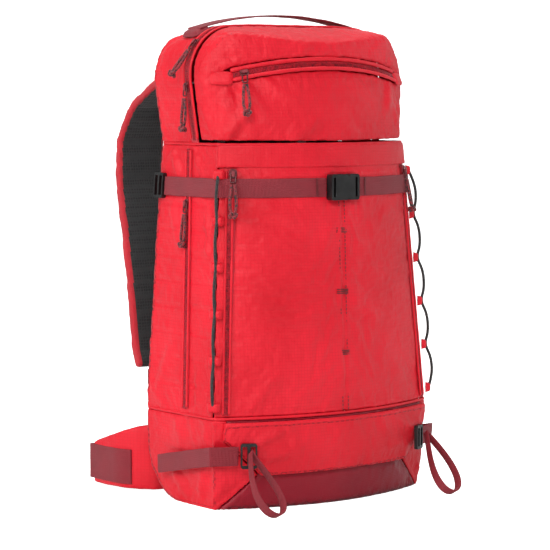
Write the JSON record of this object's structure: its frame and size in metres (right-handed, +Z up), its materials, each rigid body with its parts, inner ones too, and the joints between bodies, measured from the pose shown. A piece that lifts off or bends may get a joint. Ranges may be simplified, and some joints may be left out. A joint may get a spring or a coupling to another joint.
{
  "type": "ski backpack",
  "caption": "Ski and snowboard backpack with curved front, zipped lid, buckled tool-pocket strap, laced edges, padded harness and hip wings.",
  "frame": {"origin": "middle of the flat base, on the surface it stands on", "axes": "+X to the right of someone facing the front, -Y the front, +Z up"},
  "size_m": [0.3051, 0.3164, 0.513],
  "materials": {
    "red_shell": "coated ripstop nylon, slight sheen",
    "maroon_base": "heavier coated nylon",
    "black_mesh": "spacer mesh over foam",
    "frame_board": "polyethylene sheet",
    "stay_metal": "mill finish",
    "zip_tape": "woven tape with coil",
    "dark_red_webbing": "woven polyester webbing",
    "black_plastic": "moulded acetal",
    "slider_metal": "enamelled zinc",
    "pull_cord": "braided cord with dark flecks",
    "black_cord": "braided cord"
  },
  "bodies": {
    "pack": {"back_panel": "black_mesh", "frame_sheet": "frame_board", "frame_stays": "stay_metal", "front_panel": "red_shell", "side_panel_left": "red_shell", "side_panel_right": "red_shell", "base_panel": "maroon_base", "lower_side_panels": "red_shell", "pocket_flap": "red_shell", "top_yoke": "red_shell", "main_zip": "zip_tape", "side_zip": "zip_tape", "front_zips": "zip_tape", "front_strap_left": "dark_red_webbing", "front_strap_right": "dark_red_webbing", "side_straps": "dark_red_webbing", "side_ladder_locks": "black_plastic", "front_buckle_female": "black_plastic", "lower_straps": "dark_red_webbing", "lower_ladder_locks": "black_plastic", "front_sliders": "slider_metal", "shoulder_webbings": "dark_red_webbing", "edge_laces": "black_cord", "storm_flap": "red_shell"},
    "lid": {"lid_shell": "red_shell", "goggle_zip": "zip_tape"},
    "front_buckle_plug": {"front_buckle_male": "black_plastic"},
    "main_slider_low": {"main_slider_lower": "slider_metal"},
    "main_low_pull": {"main_lower_bail": "slider_metal", "main_lower_cord": "pull_cord"},
    "main_slider_up": {"main_slider_upper": "slider_metal"},
    "main_up_pull": {"main_upper_bail": "slider_metal", "main_upper_cord": "pull_cord"},
    "goggle_slide": {"goggle_slider": "slider_metal"},
    "goggle_pull": {"goggle_bail": "slider_metal", "goggle_cord": "pull_cord"},
    "side_slide": {"side_slider": "slider_metal"},
    "side_pull": {"side_bail": "slider_metal", "side_cord": "pull_cord"},
    "front_pull_left": {"front_left_bail": "slider_metal", "front_left_cord": "pull_cord"},
    "front_pull_right": {"front_right_bail": "slider_metal", "front_right_cord": "pull_cord"},
    "handle": {"haul_handle": "dark_red_webbing"},
    "harness": {"shoulder_strap_left": "red_shell", "shoulder_strap_right": "red_shell", "shoulder_ladder_locks": "black_plastic"},
    "sternum": {"sternum_strap": "dark_red_webbing", "sternum_buckle": "black_plastic"},
    "hip_left": {"hip_wing_left": "red_shell", "hip_webbing_left": "dark_red_webbing", "hip_buckle_female": "black_plastic"},
    "hip_right": {"hip_wing_right": "red_shell", "hip_webbing_right": "dark_red_webbing", "hip_buckle_male": "black_plastic"},
    "loop_left": {"gear_loop_left": "dark_red_webbing"},
    "loop_right": {"gear_loop_right": "dark_red_webbing"}
  },
  "joints": [
    {"name": "lid_hinge", "type": "hinge", "parent": "pack", "child": "lid", "pos_m": [0, -0.0755, 0.377], "axis": [1, 0, 0], "range_deg": [0, 80]},
    {"name": "front_buckle_release", "type": "slide", "parent": "pack", "child": "front_buckle_plug", "axis": [1, 0, 0], "range_m": [0, 0.022], "deforming": ["front_strap_right"]},
    {"name": "main_zip_low_slide", "type": "slide", "parent": "pack", "child": "main_slider_low", "axis": [0.1498, 0, -0.9887], "range_m": [0, 0.045]},
    {"name": "main_low_pull_swing", "type": "hinge", "parent": "main_slider_low", "child": "main_low_pull", "pos_m": [-0.13401, 0.013, 0.4356], "axis": [0, 1, 0], "range_deg": [0, 100]},
    {"name": "main_zip_up_slide", "type": "hinge", "parent": "pack", "child": "main_slider_up", "pos_m": [-0.0795, 0.013, 0.44673], "axis": [0, 1, 0], "range_deg": [0, 48]},
    {"name": "main_up_pull_swing", "type": "hinge", "parent": "main_slider_up", "child": "main_up_pull", "pos_m": [-0.12248, 0.013, 0.48279], "axis": [0, 1, 0], "range_deg": [0, 80]},
    {"name": "goggle_zip_slide", "type": "hinge", "parent": "lid", "child": "goggle_slide", "pos_m": [0, 0.14436, 0.35616], "axis": [0, 0.4573, 0.8893], "range_deg": [0, 50]},
    {"name": "goggle_pull_swing", "type": "hinge", "parent": "goggle_slide", "child": "goggle_pull", "pos_m": [-0.09751, -0.0416, 0.44872], "axis": [-0.8856, 0.4644, 0], "range_deg": [0, 80]},
    {"name": "side_zip_slide", "type": "slide", "parent": "pack", "child": "side_slide", "axis": [-0.0743, -0.0739, -0.9945], "range_m": [0, 0.19]},
    {"name": "side_pull_swing", "type": "hinge", "parent": "side_slide", "child": "side_pull", "pos_m": [-0.13038, 0.01878, 0.3145], "axis": [0, 1, 0], "range_deg": [0, 95]},
    {"name": "front_left_pull_swing", "type": "hinge", "parent": "pack", "child": "front_pull_left", "pos_m": [-0.11481, -0.04499, 0.3471], "axis": [-0.8132, 0.582, 0], "range_deg": [0, 85]},
    {"name": "front_right_pull_swing", "type": "hinge", "parent": "pack", "child": "front_pull_right", "pos_m": [0.11481, -0.04499, 0.3471], "axis": [-0.8132, -0.582, 0], "range_deg": [0, 85]},
    {"name": "haul_handle_lean", "type": "hinge", "parent": "pack", "child": "handle", "pos_m": [0, 0.034, 0.497], "axis": [1, 0, 0], "range_deg": [-12, 12], "stiffness_Nm_per_rad": 0.06},
    {"name": "harness_swing", "type": "hinge", "parent": "pack", "child": "harness", "pos_m": [0, 0.082, 0.449], "axis": [1, 0, 0], "range_deg": [0, 25], "deforming": ["shoulder_webbings"]},
    {"name": "sternum_slide", "type": "slide", "parent": "harness", "child": "sternum", "axis": [0, -0.3478, -0.9376], "range_m": [0, 0.03]},
    {"name": "hip_left_fold", "type": "hinge", "parent": "pack", "child": "hip_left", "pos_m": [-0.088, 0.0855, 0.04], "axis": [0, 0, -1], "range_deg": [-4, 45]},
    {"name": "hip_right_fold", "type": "hinge", "parent": "pack", "child": "hip_right", "pos_m": [0.088, 0.0855, 0.04], "axis": [0, 0, 1], "range_deg": [-4, 45]},
    {"name": "gear_loop_left_swing", "type": "hinge", "parent": "pack", "child": "loop_left", "pos_m": [-0.117, -0.07801, 0.064], "axis": [-1, 0, 0], "range_deg": [0, 60]},
    {"name": "gear_loop_right_swing", "type": "hinge", "parent": "pack", "child": "loop_right", "pos_m": [0.117, -0.07801, 0.064], "axis": [-1, 0, 0], "range_deg": [0, 60]}
  ]
}
